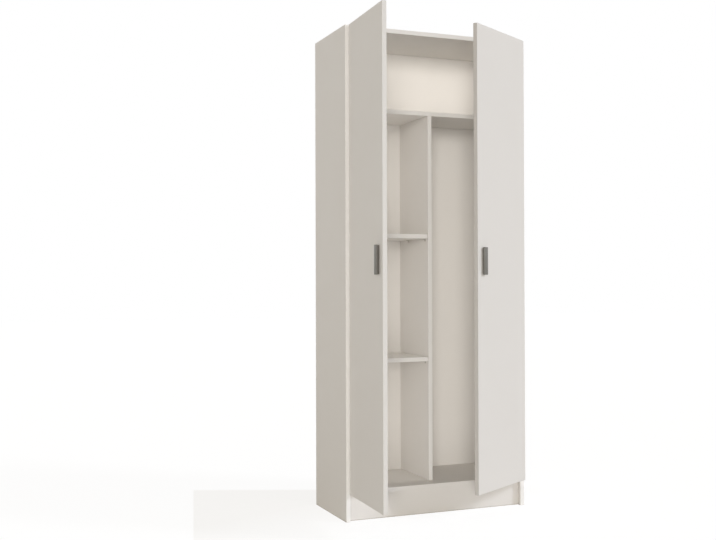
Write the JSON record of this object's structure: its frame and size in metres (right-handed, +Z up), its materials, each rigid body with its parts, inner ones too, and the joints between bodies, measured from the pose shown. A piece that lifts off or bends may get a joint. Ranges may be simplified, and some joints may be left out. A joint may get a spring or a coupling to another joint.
{
  "type": "storage cabinet",
  "caption": "Tall white two-door utility cupboard with a fixed top shelf, an upright divider, loose shelves on one side and a broom space on the other.",
  "frame": {"origin": "on the floor, in the middle of the carcass's footprint, at the foot of the support under the divider", "axes": "+X to the right seen from the front, +Y to the back (the wall side), +Z up"},
  "size_m": [0.7537, 0.7193, 1.82],
  "materials": {
    "carcass_board": "satin white melamine coating on chipboard",
    "door_board": "satin white melamine coating on chipboard",
    "back_hardboard": "white painted hardboard, matt",
    "handle_grey": "satin grey",
    "nickel_steel": "nickel-plated, satin",
    "pin_steel": "zinc-plated, satin",
    "zinc_screws": "zinc-plated, satin",
    "zinc_castings": "bare zinc casting, matt",
    "beech_dowels": "raw fluted beech",
    "bracket_steel": "zinc-plated, satin",
    "buffer_rubber": "soft clear pad, matt"
  },
  "bodies": {
    "carcass": {"left_side_panel": "carcass_board", "right_side_panel": "carcass_board", "top_panel": "carcass_board", "bottom_panel": "carcass_board", "fixed_shelf": "carcass_board", "divider_panel": "carcass_board", "plinth_board": "carcass_board", "floor_support": "carcass_board", "back_panel": "back_hardboard", "upper_small_shelf": "carcass_board", "lower_small_shelf": "carcass_board", "shelf_pins": "pin_steel", "cam_bolts": "zinc_screws", "cam_locks": "zinc_castings", "wooden_dowels": "beech_dowels", "back_panel_nails": "zinc_screws", "wall_brackets": "bracket_steel", "wall_bracket_screws": "zinc_screws", "left_hinge_plates": "nickel_steel", "left_hinge_plate_screws": "zinc_screws", "left_hinge_arms": "nickel_steel", "left_hinge_arm_screws": "zinc_screws", "left_hinge_arm_pins": "pin_steel", "right_hinge_plates": "nickel_steel", "right_hinge_plate_screws": "zinc_screws", "right_hinge_arms": "nickel_steel", "right_hinge_arm_screws": "zinc_screws", "right_hinge_arm_pins": "pin_steel"},
    "left_links": {"left_hinge_links": "nickel_steel"},
    "left_door": {"left_door_panel": "door_board", "left_handle": "handle_grey", "left_handle_bolts": "zinc_screws", "left_door_buffers": "buffer_rubber", "left_hinge_cups": "nickel_steel", "left_hinge_cup_pins": "pin_steel", "left_hinge_cup_screws": "zinc_screws"},
    "right_links": {"right_hinge_links": "nickel_steel"},
    "right_door": {"right_door_panel": "door_board", "right_handle": "handle_grey", "right_handle_bolts": "zinc_screws", "right_door_buffers": "buffer_rubber", "right_hinge_cups": "nickel_steel", "right_hinge_cup_pins": "pin_steel", "right_hinge_cup_screws": "zinc_screws"}
  },
  "joints": [
    {"name": "left_link_swing", "type": "hinge", "parent": "carcass", "child": "left_links", "pos_m": [-0.339, -0.167, 0.91], "axis": [0, 0, 1], "range_deg": [-39.83, 3.27]},
    {"name": "left_door_swing", "type": "hinge", "parent": "left_links", "child": "left_door", "pos_m": [-0.34452, -0.18851, 0.91], "axis": [0, 0, -1], "range_deg": [-132.28, 10.72]},
    {"name": "right_link_swing", "type": "hinge", "parent": "carcass", "child": "right_links", "pos_m": [0.339, -0.167, 0.91], "axis": [0, 0, -1], "range_deg": [-14.24, 28.86]},
    {"name": "right_door_swing", "type": "hinge", "parent": "right_links", "child": "right_door", "pos_m": [0.35326, -0.18402, 0.91], "axis": [0, 0, 1], "range_deg": [-47.19, 95.81]}
  ],
  "couplings": [
    {"joint": "left_link_swing", "follows": "left_door_swing", "ratio": 0.3007},
    {"joint": "right_link_swing", "follows": "right_door_swing", "ratio": 0.3007}
  ]
}
